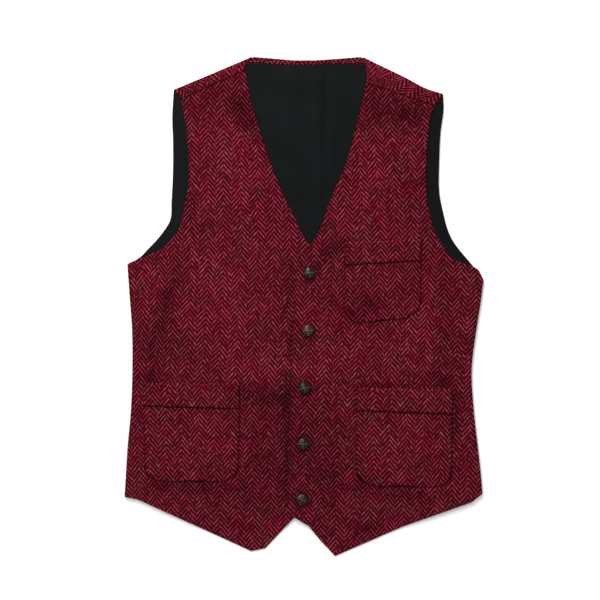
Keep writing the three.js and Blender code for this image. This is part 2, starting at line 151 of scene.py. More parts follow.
# Soft folds of the fronts: from, to, spread and height. The first six are the garment's large ones.
FOLDS = [
    (-208, 30, -206, -52, 24, 2.4),
    (-92, 262, -122, 128, 27, 2.0),
    (-62, 34, -56, -190, 20, 1.2),
    (128, 240, 132, 152, 26, 2.0),
    (198, 6, 206, -56, 24, 2.0),
    (46, 30, 40, -215, 22, 1.1),
    (-214, 52, -150, -20, 9, 0.7),
    (-150, 96, -118, 34, 12, 0.8),
    (-30, 84, -64, 30, 10, 0.6),
    (-232, -66, -172, -92, 9, 0.7),
    (-228, -30, -196, -18, 7, 0.5),
    (-84, -30, -112, -84, 12, 0.7),
    (-70, -206, -128, -286, 14, 0.7),
    (-40, -236, -60, -318, 12, 0.6),
    (34, 66, 52, 120, 9, 0.6),
    (30, -52, 60, -96, 9, 0.6),
    (26, -130, 58, -176, 9, 0.5),
    (176, 40, 226, -2, 10, 0.8),
    (236, -58, 190, -96, 9, 0.7),
    (60, -262, 92, -322, 12, 0.6),
    (160, -262, 176, -286, 12, 0.6),
    (100, 140, 92, 204, 12, 0.6),
    (150, 268, 110, 296, 10, 0.6),
    (-150, 270, -104, 306, 10, 0.6),
]
FOLDS_END = (216, 246)  # they die away between these distances from the middle line
LANDED = 0.4  # the share of their height that is left where a front comes down on the table
PRESSED = 7.0  # width of the turned edge that the iron leaves a little proud
PRESSED_HIGH = 0.22
EDGE_SHADE_FADES = (1.2, 2.6)  # the painted shade line along a turned-down edge fades out between these distances from the edge

# Painted light and shade on the fronts, the shoulder wraps and the pockets: from, to, spread and how much
# lighter the cloth is painted there. Darker rows are painted shade, such as the shadow along the lap and
# above a pocket's cuff; lighter ones are painted light, such as on the shoulders.
PAINTED_LIGHT_AND_SHADE = [
    (-90, 278, -76, 262, 17, -0.45), (-130, 296, -92, 288, 20, -0.24), (98, 280, 128, 274, 25, -0.42),
    (148, 268, 166, 262, 16, -0.21), (-160, 314, -96, 340, 9, 0.30), (100, 336, 176, 302, 9, 0.30),
    (-104, 214, -92, 180, 34, 0.20), (-142, 30, -118, 16, 34, 0.15), (96, 214, 100, 176, 24, 0.14),
    (60, 120, 66, 112, 18, 0.16), (-178, 48, -190, 22, 11, -0.34), (-190, 14, -204, -58, 12, -0.36),
    (-226, -100, -212, -104, 9, -0.39), (22, 66, 52, 90, 12, -0.42), (-20, 60, -21, -60, 5, -0.30),
    (-22, -96, -24, -262, 10, -0.27), (-88, -122, -36, -130, 13, -0.42), (-96, -88, 30, -84, 18, 0.23),
    (36, -60, 52, -66, 20, 0.14), (150, -52, 170, -46, 26, 0.14), (76, -110, 204, -111, 4, -0.34),
    (178, -98, 200, -102, 9, -0.33), (214, -124, 212, -184, 6, -0.39), (-212, -252, -140, -254, 10, -0.34),
    (-96, -262, -70, -270, 14, -0.16), (80, -258, 168, -262, 12, -0.36), (78, -316, 104, -306, 10, -0.33),
    (18, -170, 44, -222, 28, -0.16), (-70, -176, -50, -222, 20, -0.15), (94, 4, 84, -6, 15, -0.33),
    (196, 50, 202, -76, 13, -0.23), (-136, -196, -118, -206, 30, 0.14), (130, -190, 150, -200, 30, 0.11),
    (18, -232, 60, -252, 18, -0.17), (168, 150, 172, 60, 7, -0.15), (-164, 150, -160, 110, 8, -0.18),
    (60, 2, 68, -12, 3, -0.4), (68, -12, 80, -19, 3, -0.4), (-120, 44, -110, -20, 36, 0.12),
    (-20, -140, -10, -240, 52, -0.12), (-226, -36, -216, -96, 15, -0.15), (-130, -246, -56, -268, 18, -0.2),
    # Painted shadow round each button's foot.
    (8, 46, 9, 45, 10.5, -0.42), (6, -34, 7, -35, 10.5, -0.42), (1, -115, 2, -116, 10.5, -0.42),
    (-1, -193, 0, -194, 10.5, -0.42), (-3, -271, -2, -272, 10.5, -0.42),
]

# Painted light and shade on the outside of the back, darker along its creases, in the same columns.
BACK_PAINTED_LIGHT_AND_SHADE = [
    (-120, 200, -90, 120, 34, 0.12), (110, 190, 96, 100, 34, 0.10), (-160, 20, -60, -14, 16, -0.16),
    (150, 16, 60, -24, 16, -0.16), (0, 300, 2, 180, 14, -0.12), (-90, -120, -110, -220, 26, -0.12),
    (90, -130, 100, -230, 26, -0.10), (0, -60, 4, -150, 36, 0.12), (-150, 250, -90, 290, 16, -0.14),
    (150, 246, 96, 288, 16, -0.14),
]

# Patch pockets: the cuff's upper corners, the seam under it, the bag's lower corners, and how far the
# rounded corners reach in and up.
POCKETS = {
    "chest_pocket": {
        "top": [(57.5, 89.5), (164, 94)], "seam": [(56, 57.5), (164.5, 63.5)],
        "low": [(56, -23), (163, -12)], "corner": (24, 19),
        "bag_peak": (59.8, 23.1), "cuff_peak": (82.6, 23.5),
    },
    "hip_pocket_right": {
        "top": [(-225, -107.5), (-90.5, -108)], "seam": [(-225.5, -140), (-89.5, -144)],
        "low": [(-224, -242.5), (-92.5, -243.5)], "corner": (22, 20),
        "bag_peak": (-216.6, 22.96), "cuff_peak": (-213.2, 22.96),
    },
    "hip_pocket_left": {
        "top": [(73, -114.5), (208.5, -116.5)], "seam": [(72, -146.5), (208, -151.5)],
        "low": [(74, -249), (207, -251.5)], "corner": (22, 20),
        "bag_peak": (73.5, 23.4), "cuff_peak": (76.7, 23.7),
    },
}

# Buttons: turn of the plait in degrees, how tan the leather is, and the buttonhole's reach past it.
BUTTONS = {
    "button_1": (8, 0.25, 3.5),
    "button_2": (4, 1.0, 2.5),
    "button_3": (14, 0.1, 8.5),
    "button_4": (0, 0.15, 3.0),
    "button_5": (-24, 0.2, 3.5),
}

# The weave: one herringbone repeat is two bands of eight ends, and four picks are one twill line.
REPEAT = 23.1
ENDS = 16
PICK = 1.69
PICKS = 4

# How far each front's bands lean sideways with height, as (height, shift), and where a band has its
# peak.
RIGHT_LEAN = [(-257, -4.9), (-229, -6.3), (-201, -8.4), (-145, -8.4), (-117, -9.8), (-89, -7.7),
              (-61, -5.6), (-33, -4.2), (-5, -2.8), (23, -1.4), (65, 0)]
LEFT_LEAN = [(-285, -14), (-257, -13.3), (-201, -11.2), (-145, -9.8), (-89, -7), (-61, -5.6), (-33, -4.2),
             (-5, -2.1), (51, 0), (93, 0), (135, -1.4), (163, -3.5), (191, -4.2), (219, -5.6), (247, -7),
             (275, -8.4)]
RIGHT_PEAK = -158.2
LEFT_PEAK = 13.3
RIGHT_EASED = -180  # the right front is eased in from here to its side, which crowds its bands
EASED_IN = 0.078

STRIPS = 1.6  # strips side by side from a button's middle to its rim
STRIP_HIGH = 0.55  # how high they stand, as a share of the two that cross on the crown
PLAIT_DEEP = 0.45  # depth of the plait's relief
NARROWEST_CUT = 0.0115  # metres: the neck band is cut with a turning along its upper edge
EDGE_STEPS = np.array([0, 0.08, 0.25, 0.5, 0.85, 1.3, 1.9, 2.6])  # from an edge inward


# ---------------------------------------------------------------- lines, sections and heights

def smooth(low, high, x):
    """0 below low and 1 above high, with 3k^2 - 2k^3 between them."""
    k = np.clip((x - low) / (high - low), 0, 1)
    return k * k * (3 - 2 * k)


def mix(a, b, k):
    return a + (b - a) * k


def line_y(points, x):
    """The height of a chain of straight lines at x."""
    line = np.array(sorted(points), float)
    return np.interp(x, line[:, 0], line[:, 1])


def curve_at(points, t, corner=None):
    """A smooth curve through the points, read by point number. Each span is a Hermite curve as long as
    its chord. Its direction at a point is the sum of the unit chords before and after it, each times
    the other's length. At a corner each span keeps its own chord's direction."""
    points = np.array(points, float)
    chords = np.diff(points, axis=0)
    spans = np.linalg.norm(chords, axis=1, keepdims=True)
    unit = chords / spans
    inner = unit[:-1] * spans[1:] + unit[1:] * spans[:-1]
    inner /= np.linalg.norm(inner, axis=1, keepdims=True)
    leaving = np.concatenate([unit[:1], inner, unit[-1:]])
    arriving = leaving.copy()
    if corner:
        leaving[corner], arriving[corner] = unit[corner], unit[corner - 1]
    i = np.clip(np.floor(t).astype(int), 0, len(points) - 2)
    s = (t - i)[:, None]
    bends = leaving[i] * (s * (1 - s) ** 2) + arriving[i + 1] * (s * s * (s - 1))
    return points[i] + chords[i] * (s * s * (3 - 2 * s)) + bends * spans[i]


def ridges(table, x, y):
    """The sum of soft ridges. Each has its full height on its line and falls off to both sides as
    exp(-(distance / spread)^2)."""
    high = np.zeros_like(x)
    for x0, y0, x1, y1, spread, top in table:
        dx, dy = x1 - x0, y1 - y0
        k = np.clip(((x - x0) * dx + (y - y0) * dy) / (dx * dx + dy * dy), 0, 1)
        off = np.hypot(x - x0 - k * dx, y - y0 - k * dy) / spread
        high += top * np.exp(-off * off)
    return high


def slack(x, y):
    """The slight unevenness of pressed wool, up to a third of a millimetre: the square of the sum of two
    long sine waves, one along each axis, each bent by a longer one across it."""
    wave = np.sin(x / 19 + 1.1 * np.sin(y / 47)) + np.sin(y / 31 + 0.9 * np.sin(x / 38) + 1)
    return 0.09 * wave * wave


def front_z(x, y):
    """The middle height of a front: over the back and lining, and down on the table past their hems."""
    folds = (ridges(FOLDS, x, y) + slack(x, y)) * (1 - smooth(*FOLDS_END, np.abs(x)))
    return mix(BACK_Z + LANDED * folds, FRONT_Z + folds, smooth(*FRONT_LANDS, y))


def left_front_z(x, y):
    """The left front rises over the right one's edge as well."""
    lapped = (1 - smooth(*LAP_FALLS, x)) * (1 - smooth(*LAP_ENDS, y)) * smooth(*LAP_STARTS, y)
    return front_z(x, y) + LAP_RISE * lapped


def section_numbers(left, right, step, first=0):
    """Section numbers a step apart along the middle of a panel, and closer at both ends. One of them is
    the underarm's."""
    t = np.linspace(first, len(left) - 1, 400)
    middle = (curve_at(left, t) + curve_at(right, t)) / 2
    run = np.concatenate([[0], np.cumsum(np.linalg.norm(np.diff(middle, axis=0), axis=1))])
    even = np.linspace(EDGE_STEPS[-1], run[-1] - EDGE_STEPS[-1], round(run[-1] / step))
    marks = np.unique(np.concatenate([EDGE_STEPS, even, run[-1] - EDGE_STEPS]).round(4))
    rows = np.interp(marks, run, t)
    rows[np.abs(rows - UNDERARM).argmin()] = UNDERARM
    return rows


def panel(left, right, rows, step, z, hem=(), top=(), fold_left=0, fold_right=0, inset=None):
    """A panel's grid of middle points. A point lies on the straight line between its section's two
    ends: near an end at a fixed distance from it, elsewhere at a fixed share. Where an edge turns into
    a fold (up 1, down -1) those distances follow a quarter circle. Hem and top outlines move the
    points of the first and last sections along Y, and that move dies away over the next sections."""
    a = curve_at(left, rows, UNDERARM if fold_left else None)
    b = curve_at(right, rows, UNDERARM if fold_right else None)
    inward = (b - a) / np.linalg.norm(b - a, axis=1, keepdims=True)
    inward, a, b = (v[:, None, :] for v in (inward, a, b))
    if inset:
        a, b = a + inward * inset(rows)[:, None, None], b - inward * inset(rows)[:, None, None]
    turned = (1 - smooth(*SIDE_OPENS, rows))[:, None]
    share = EDGE_STEPS / EDGE_STEPS[-1]
    angle = mix(math.asin(GAP / 2 / FOLD_R), math.pi / 2, share)

    def edge(way):
        k = turned * abs(way)
        return (mix(EDGE_STEPS, FOLD_AXIS - FOLD_R * np.cos(angle), k),
                way * k * FOLD_R * (1 - np.sin(angle)))

    (in_left, high_left), (in_right, high_right) = edge(fold_left), edge(fold_right)
    margin = EDGE_STEPS[-1]
    from_, to = a + inward * margin, b - inward * margin
    corners = []
    for row, outline in ((0, hem), (-1, top)):
        x = np.array([p[0] for p in outline[1:-1]])
        corners.append((x - from_[row, 0, 0]) / (to[row, 0, 0] - from_[row, 0, 0]))
    wide = np.linalg.norm(b - a, axis=2).max()
    shares = np.concatenate([np.linspace(0, 1, round(wide / step))[1:-1], *corners])
    shares = np.unique(shares[(shares > 0) & (shares < 1)].round(5))[:, None]
    places = np.concatenate([
        a + inward * in_left[..., None], mix(from_, to, shares), b - inward * in_right[:, ::-1, None],
    ], axis=1)
    flat = np.zeros((len(rows), len(shares)))
    high = np.concatenate([high_left, flat, high_right[:, ::-1]], axis=1)
    x, y = places[..., 0], places[..., 1].copy()
    if hem:
        ease = 1 - smooth(rows[0], rows[0] + FADE, rows)
        y += ease[:, None] * (line_y(hem, x[0]) - places[0, :, 1])
    if top:
        ease = smooth(rows[-1] - FADE, rows[-1], rows)
        y += ease[:, None] * (line_y(top, x[-1]) - places[-1, :, 1])
    return np.stack([x, y, z(x, y) + high], axis=2)


# ---------------------------------------------------------------- shells and meshes

def runs(grid, axis):
    """Each point's distance from the first one, along its row or column."""
    steps = np.linalg.norm(np.diff(grid, axis=axis), axis=2)
    return np.concatenate([np.zeros_like(steps.take([0], axis)), steps.cumsum(axis)], axis=axis)


def edge_distances(grid):
    across, up = runs(grid, 1), runs(grid, 0)
    return across, across[:, -1:] - across, up, up[-1:] - up


def painted_lightness(grid, table, turned=(0, 0, 0, 0)):
    """How light the cloth is painted, with 1 as it is dyed: painted light and shade from the table's
    patches, and a painted shade line where each edge (left, right, low, high) is turned down to its seam. A
    negative weight paints a highlight there instead."""
    light = 1 + ridges(table, grid[..., 0], grid[..., 1])
    for off, dark in zip(edge_distances(grid), turned):
        light = light * (1 - dark * (1 - smooth(*EDGE_SHADE_FADES, off)))
    return np.clip(light, 0.1, 1.6)


def shell(grid, thick, grain, light, pressed=0.0, sunk=None):
    """A closed shell about a grid of middle points. Each point moves both ways along the grid's normal by
    half the thickness, which shrinks to nothing at the edges as a quarter ellipse, so the two faces
    meet in a round edge. The upper face is a little higher along its pressed edges. sunk is how far
    the under face draws in. grain gives a point's place on the cloth, across and along the warp."""
    normal = np.cross(np.gradient(grid, axis=1), np.gradient(grid, axis=0))
    normal /= np.linalg.norm(normal, axis=2, keepdims=True)
    distances = edge_distances(grid)
    half = np.full(grid.shape[:2], thick / 2)
    for off in distances:
        half = half * np.sqrt(1 - (1 - np.clip(off / (thick / 2), 0, 1)) ** 2)
    nearest = np.minimum.reduce(distances)
    proud = pressed * smooth(0.4, 2.0, nearest) * (1 - smooth(PRESSED - 1.2, PRESSED + 1.2, nearest))
    over = grid + normal * (half + proud)[..., None]
    under = grid - normal * (half - (0 if sunk is None else sunk))[..., None]
    rows, cols = grid.shape[:2]
    top = np.arange(rows * cols).reshape(rows, cols)
    low = top.copy()
    low[1:-1, 1:-1] = rows * cols + np.arange((rows - 2) * (cols - 2)).reshape(rows - 2, cols - 2)
    quads = []
    for index in (top, low[:, ::-1]):
        corners = [index[:-1, :-1], index[:-1, 1:], index[1:, 1:], index[1:, :-1]]
        quads.append(np.stack(corners, axis=2).reshape(-1, 4))
    places = np.concatenate([over.reshape(-1, 3), under[1:-1, 1:-1].reshape(-1, 3)])
    grain = np.concatenate([grain.reshape(-1, 2), grain[1:-1, 1:-1].reshape(-1, 2)])
    light = np.concatenate([light.ravel(), light[1:-1, 1:-1].ravel()])
    return {"places": places, "faces": np.concatenate(quads), "grain": grain, "light": light}


def cut_of(grids):
    """The width, length and area in metres of the flat cut: the longest row and column of the first
    grid, and the area of all of them."""
    wide, long = runs(grids[0], 1)[:, -1].max() * MM, runs(grids[0], 0)[-1].max() * MM
    long = max(long, NARROWEST_CUT)
    area = 0
    for g in grids:
        sides = np.cross(g[1:, 1:] - g[:-1, :-1], g[1:, :-1] - g[:-1, 1:])
        area += np.linalg.norm(sides, axis=2).sum() / 2 * MM * MM
    return (float(wide), float(long)), float(min(area, wide * long))


def joined(parts):
    """The points and faces of several shells or beads, as one mesh has them."""
    starts = np.cumsum([0] + [len(p["places"]) for p in parts[:-1]])
    faces = np.concatenate([p["faces"] + start for p, start in zip(parts, starts)])
    return np.concatenate([p["places"] for p in parts]), faces.tolist()


def piece(name, places, faces, material, slot, node=None):
    """One smooth mesh of one material on the vest's body, and the CAD node that it stands for."""
    mesh = bpy.data.meshes.new(name)
    mesh.from_pydata(places * MM, [], faces)
    mesh.polygons.foreach_set("use_smooth", np.ones(len(mesh.polygons), bool))
    mesh.materials.append(material)
    made = bpy.data.objects.new(name, mesh)
    bpy.context.scene.collection.objects.link(made)
    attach(made, "root")
    if node:
        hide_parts(node)
    return made


def point_values(mesh, name, values):
    """Gives each point a number, which the material reads by its name."""
    mesh.attributes.new(name, "FLOAT", "POINT").data.foreach_set("value", values.astype(np.float32))


def cloth(name, layers, material, node, slot, pressed=0.0, sunk=None):
    """A cloth piece of one or more layers. A layer is a grid, its thickness, its grain and its lightness.
    Only the first layer's under face draws in."""
    parts = [shell(*layer, pressed, None if n else sunk) for n, layer in enumerate(layers)]
    made = piece(name, *joined(parts), material, slot, node)
    mesh = made.data
    loops = np.empty(len(mesh.loops), np.int32)
    mesh.loops.foreach_get("vertex_index", loops)
    grain = np.concatenate([p["grain"] for p in parts]) * MM
    mesh.uv_layers.new(name="grain").data.foreach_set("uv", grain[loops].ravel())
    point_values(mesh, "light", np.concatenate([p["light"] for p in parts]))
    flat, area = cut_of([layer[0] for layer in layers])


# ---------------------------------------------------------------- materials

def linear(colour):
    """An sRGB hex colour in linear light."""
    parts = [int(colour[i:i + 2], 16) / 255 for i in (1, 3, 5)]
    return (*[p / 12.92 if p <= 0.04045 else ((p + 0.055) / 1.055) ** 2.4 for p in parts], 1)


def add(tree, kind, inputs=None, out=0, **settings):
    """Adds a node with its settings, fills its inputs with values or links, and gives one output."""
    made = tree.nodes.new("ShaderNode" + kind)
    for key, value in settings.items():
        setattr(made, key, value)
    for key, value in (inputs or {}).items():
        if isinstance(value, bpy.types.NodeSocket):
            tree.links.new(value, made.inputs[key])
        else:
            made.inputs[key].default_value = value
    return made.outputs[out]


def reckon(tree, operation, *values, **settings):
    """One step of arithmetic on numbers or links."""
    return add(tree, "Math", dict(enumerate(values)), operation=operation, **settings)


def ranged(tree, value, low, high, least=0, most=1, **settings):
    """Least below low and most above high, with a straight or smooth ramp between them."""
    ends = {"From Min": low, "From Max": high, "To Min": least, "To Max": most}
    return add(tree, "MapRange", {"Value": value, **ends}, **settings)


def new_material(name):
    material = bpy.data.materials.new(name)
    material.use_nodes = True
    material.node_tree.nodes.clear()
    return material, material.node_tree


def finish(tree, inputs):
    """The surface: a Principled shader with these inputs."""
    output = tree.nodes.new("ShaderNodeOutputMaterial")
    tree.links.new(add(tree, "BsdfPrincipled", inputs), output.inputs["Surface"])


def herringbone_tweed():
    """Wool tweed woven as herringbone: a light burgundy warp and a dark maroon weft in a twill that
    turns about every eight ends. It is matt and hairy, flecked where the yarn's dye varies."""
    material, tree = new_material("wool herringbone tweed")
    grain = add(tree, "UVMap", uv_map="grain")
    # The yarns stray by up to about a millimetre, and whole bands by a little more.
    place = grain
    for scale, detail, rough, far in ((170, 2, 0.6, 1.9), (32, 1, 0.5, 2.6)):
        stray = add(tree, "TexNoise", {"Vector": grain, "Scale": scale, "Detail": detail,
                                       "Roughness": rough}, out="Color")
        stray = add(tree, "VectorMath", {0: stray, 1: (0.5, 0.5, 0.5)}, operation="SUBTRACT")
        stray = add(tree, "VectorMath", {0: stray, "Scale": far * MM}, operation="SCALE")
        place = add(tree, "VectorMath", {0: place, 1: stray}, operation="ADD")
    across = add(tree, "SeparateXYZ", {"Vector": place}, out="X")
    along = across.node.outputs["Y"]
    end = reckon(tree, "DIVIDE", across, REPEAT / ENDS * MM)
    arm = reckon(tree, "PINGPONG", end, ENDS / 2)
    whole = reckon(tree, "FLOOR", arm)
    whole = reckon(tree, "ADD", whole, 0.5)
    # Each end steps by one pick, softened where the fibres cover the step.
    stair = add(tree, "Mix", {"Factor": 0.45, "A": arm, "B": whole})
    # The lines of one band meet the gaps of the next, give or take half a pick.
    band = reckon(tree, "DIVIDE", end, ENDS / 2)
    band = reckon(tree, "FLOOR", band)
    step = add(tree, "TexWhiteNoise", {"W": band}, out="Value", noise_dimensions="1D")
    pick = reckon(tree, "DIVIDE", along, PICK * MM)
    odd = reckon(tree, "PINGPONG", band, 1)
    step = reckon(tree, "MULTIPLY_ADD", odd, PICKS / 2, step)
    pick = reckon(tree, "ADD", pick, step)
    twill = reckon(tree, "ADD", pick, stair)
    twill = reckon(tree, "DIVIDE", twill, PICKS)
    turn = reckon(tree, "MULTIPLY", twill, 2 * math.pi)
    rib = reckon(tree, "SINE", turn)
    fibres = add(tree, "TexNoise", {"Vector": grain, "Scale": 900, "Detail": 3, "Roughness": 0.7},
                 out="Fac")
    rough_rib = reckon(tree, "MULTIPLY_ADD", fibres, 1.7, -0.85)
    rough_rib = reckon(tree, "ADD", rib, rough_rib)
    warp_up = ranged(tree, rough_rib, -0.26, 0.42, interpolation_type="SMOOTHSTEP")
    # Each float of the warp has its own dye, so has each line of a band, and patches are pinker or greyer.
    end_number = reckon(tree, "FLOOR", end)
    line_number = reckon(tree, "SUBTRACT", twill, 0.25)
    line_number = reckon(tree, "ROUND", line_number)
    float_place = add(tree, "CombineXYZ", {"X": end_number, "Y": line_number})
    dye = add(tree, "TexWhiteNoise", {"Vector": float_place}, out="Value")
    line_place = add(tree, "CombineXYZ", {"X": band, "Y": line_number, "Z": 7})
    line_dye = add(tree, "TexWhiteNoise", {"Vector": line_place}, out="Value")
    patch = add(tree, "TexNoise", {"Vector": grain, "Scale": 34, "Detail": 3, "Roughness": 0.65}, out="Fac")
    patch = ranged(tree, patch, 0.36, 0.64)
    warp = add(tree, "MixRGB", {"Fac": patch, "Color1": linear(GREY_WARP), "Color2": linear(PINK_WARP)})
    streak = add(tree, "TexNoise", {"Vector": grain, "Scale": 480, "Detail": 2}, out="Fac")
    for uneven, low, high, least, most in ((dye, 0, 1, 0.48, 1.45), (line_dye, 0, 1, 0.74, 1.26),
                                           (streak, 0.3, 0.7, 0.6, 1.4)):
        fleck = ranged(tree, uneven, low, high, least, most)
        warp = add(tree, "VectorMath", {0: warp, "Scale": fleck}, operation="SCALE")
    lint = ranged(tree, dye, 0.88, 1.0)
    warp = add(tree, "MixRGB", {"Fac": lint, "Color1": warp, "Color2": linear(LINT)})
    colour = add(tree, "MixRGB", {"Fac": warp_up, "Color1": linear(WEFT), "Color2": warp})
    wide = add(tree, "TexNoise", {"Vector": grain, "Scale": 20, "Detail": 2}, out="Fac")
    wide = ranged(tree, wide, 0.3, 0.7, 0.9, 1.1)
    # The light attribute is painted light and shade: it darkens the cloth where shade would fall and
    # lightens it where light would fall. wide is a random tone.
    light = add(tree, "Attribute", attribute_name="light", out="Fac")
    light = reckon(tree, "MULTIPLY", light, wide)
    colour = add(tree, "VectorMath", {0: colour, "Scale": light}, operation="SCALE")
    # The warp's floats stand about a third of a millimetre proud, round across each yarn.
    yarn = reckon(tree, "MULTIPLY", end, 2 * math.pi)
    yarn = reckon(tree, "COSINE", yarn)
    relief = reckon(tree, "MULTIPLY_ADD", yarn, -0.14, warp_up)
    relief = reckon(tree, "MULTIPLY_ADD", fibres, 0.6, relief)
    bump = add(tree, "Bump", {"Height": relief, "Distance": 0.35 * MM, "Strength": 0.8})
    finish(tree, {
        "Base Color": colour, "Normal": bump, "Roughness": 0.95, "Specular IOR Level": 0.01,
        "Sheen Weight": 0.01, "Sheen Roughness": 0.45, "Sheen Tint": linear("#c0556a"),
    })
    return material


def lining_satin():
    """Black viscose lining, woven as satin and pressed: a deep black with a dull cool sheen and very fine
    ribs along the warp."""
    material, tree = new_material("black viscose satin")
    grain = add(tree, "UVMap", uv_map="grain")
    stretched = add(tree, "Mapping", {"Vector": grain, "Scale": (1, 0.12, 1)})
    ribs = add(tree, "TexNoise", {"Vector": stretched, "Scale": 1400, "Detail": 2}, out="Fac")
    soft = add(tree, "TexNoise", {"Vector": grain, "Scale": 14, "Detail": 3}, out="Fac")
    soft = ranged(tree, soft, 0.3, 0.7)
    colour = add(tree, "MixRGB", {"Fac": soft, "Color1": linear("#080b0c"), "Color2": linear("#0c1011")})
    dull = ranged(tree, ribs, 0.3, 0.7, 0.46, 0.6)
    bump = add(tree, "Bump", {"Height": ribs, "Distance": 0.04 * MM, "Strength": 0.5})
    finish(tree, {"Base Color": colour, "Normal": bump, "Roughness": dull, "Specular IOR Level": 0.05})
    return material


def plaited_leather():
    """Dark brown calf, dyed, cut in strips, plaited and waxed: nearly black in the creases, and browner on
    the crowns, partly as wear and partly as a painted highlight along the crossing strips, with a low gloss
    and a fine grain."""
    material, tree = new_material("waxed calf leather")
    place = add(tree, "TexCoord", out="Object")
    pores = add(tree, "TexVoronoi", {"Vector": place, "Scale": 1700}, out="Distance")
    mottle = add(tree, "TexNoise", {"Vector": place, "Scale": 420, "Detail": 4}, out="Fac")
    crown = add(tree, "Attribute", attribute_name="crown", out="Fac")
    tan = add(tree, "Attribute", attribute_name="tan", out="Fac")
    brown = add(tree, "MixRGB", {"Fac": tan, "Color1": linear("#5c413a"), "Color2": linear("#7a574a")})
    dark = add(tree, "MixRGB", {"Fac": tan, "Color1": linear("#0c0908"), "Color2": linear("#2a1812")})
    # The crowns are browner: partly wear, and partly a painted highlight along the crossing strips.
    wear_and_painted_highlight = ranged(tree, crown, 0.62, 1.0, 0, 0.75, interpolation_type="SMOOTHSTEP")
    wear_and_painted_highlight = reckon(tree, "MULTIPLY", wear_and_painted_highlight, mottle)
    wear_and_painted_highlight = reckon(tree, "MULTIPLY", wear_and_painted_highlight, 1.6, use_clamp=True)
    colour = add(tree, "MixRGB", {"Fac": wear_and_painted_highlight, "Color1": dark, "Color2": brown})
    rough = ranged(tree, mottle, 0.3, 0.7, 0.12, 0.2)
    bump = add(tree, "Bump", {"Height": pores, "Distance": 0.04 * MM, "Strength": 0.3})
    finish(tree, {"Base Color": colour, "Normal": bump, "Roughness": rough, "IOR": 1.3})
    return material


def silk_twist():
    """Buttonhole twist: a corded, dyed maroon thread, darker than the cloth and slightly bright."""
    material, tree = new_material("maroon buttonhole twist")
    place = add(tree, "TexCoord", out="Object")
    noise = add(tree, "TexNoise", {"Vector": place, "Scale": 700, "Detail": 2}, out="Fac")
    colour = add(tree, "MixRGB", {"Fac": noise, "Color1": linear("#1c0409"), "Color2": linear("#43101c")})
    finish(tree, {"Base Color": colour, "Roughness": 0.6, "Specular IOR Level": 0.2})
    return material


def studio_paper():
    """Matt white background paper under the vest."""
    material, tree = new_material("matt white paper")
    finish(tree, {"Base Color": linear("#f8f8f8"), "Roughness": 0.9, "Specular IOR Level": 0.1})
    return material


WEFT = "#330001"
PINK_WARP = "#711a31"
GREY_WARP = "#622732"
LINT = "#783e4a"
TWEED = herringbone_tweed()
SATIN_BLACK = lining_satin()
LEATHER = plaited_leather()
TWIST = silk_twist()


# ---------------------------------------------------------------- the panels

def leaning_grain(grid, peak, lean, eased=None):
    """Cloth coordinates of a front: X less the lean at that height, from a band's peak, and Y. Past the
    place where the cloth is eased in there is a little more of it to each step of X."""
    heights, shifts = np.array(lean).T
    x, y = grid[..., 0], grid[..., 1]
    across = x - peak - np.interp(y, heights, shifts)
    if eased is not None:
        across += np.minimum(x - eased, 0) * EASED_IN
    return np.stack([across, y], axis=2)


def straight_grain(grid, peak, repeat=REPEAT):
    """Cloth coordinates along X and Y from a band's peak, in a cloth whose bands are repeat wide."""
    return np.stack([(grid[..., 0] - peak) * REPEAT / repeat, grid[..., 1]], axis=2)


def make_front(name, node, left, right, hem, z, grain, rests_on, turned, **fold):
    """A front, with a hem that comes to a point and its side edge turned down into the side's fold."""
    up, across = FRONT_STEPS
    grid = panel(left, right, section_numbers(left, right, up), across, z, hem=hem, **fold)
    # The cloth's painted light and shade from the table, and painted shade along its edges as turned gives
    # it.
    light = painted_lightness(grid, PAINTED_LIGHT_AND_SHADE, turned)
    cloth(name, [(grid, CLOTH, grain(grid), light)], TWEED, node, "tweed", PRESSED_HIGH)


def shoulder_wrap(fold, seam, bow):
    """The back's cloth carried round a shoulder. The columns run along the fold. The rows start under
    the back, go round a half circle and end at the front's seam, and bow out at the neck end."""
    columns, turns = 60, 19
    s = np.linspace(0, 1, columns)
    edge = curve_at(fold, s * (len(fold) - 1))
    reach = curve_at(seam, s) - edge
    wide = np.linalg.norm(reach, axis=1)
    angle = np.radians(np.linspace(-90, 90, turns))
    # Each row: how far in from the fold, with minus on the back's side, its height, and its share of the
    # way to the seam.
    rows = [(-OVERLAP * 2.5, BACK_Z, 0), (-OVERLAP * 1.5, BACK_Z, 0)]
    rows += [(math.copysign(FOLD_AXIS - FOLD_R * math.cos(a), a), FOLD_Z + FOLD_R * math.sin(a), 0)
             for a in angle]
    shares = np.concatenate([np.linspace(0.08, 0.86, 10), [0.91, 0.95, 0.98, 0.995, 1]])
    rows += [(1, FRONT_Z, share) for share in shares]
    grid, grain = [], []
    along = np.concatenate([[0], np.cumsum(np.linalg.norm(np.diff(edge, axis=0), axis=1))])
    for inward, high, share in rows:
        over = inward > 0
        way = reach / wide[:, None] if over else np.array([[0, -1.0]])
        deep = mix(FOLD_AXIS, wide, share) if share else np.full(columns, abs(inward) * SLOPE)
        if over:
            deep = np.minimum(deep, wide)
        place = edge + way * deep[:, None]
        x = place[:, 0] + bow * 4 * share * (1 - share) * s ** 4
        grid.append(np.stack([x, place[:, 1], np.full(columns, high)], axis=1))
        grain.append(np.stack([along, deep if over else -deep], axis=1))
    return np.array(grid), np.array(grain)


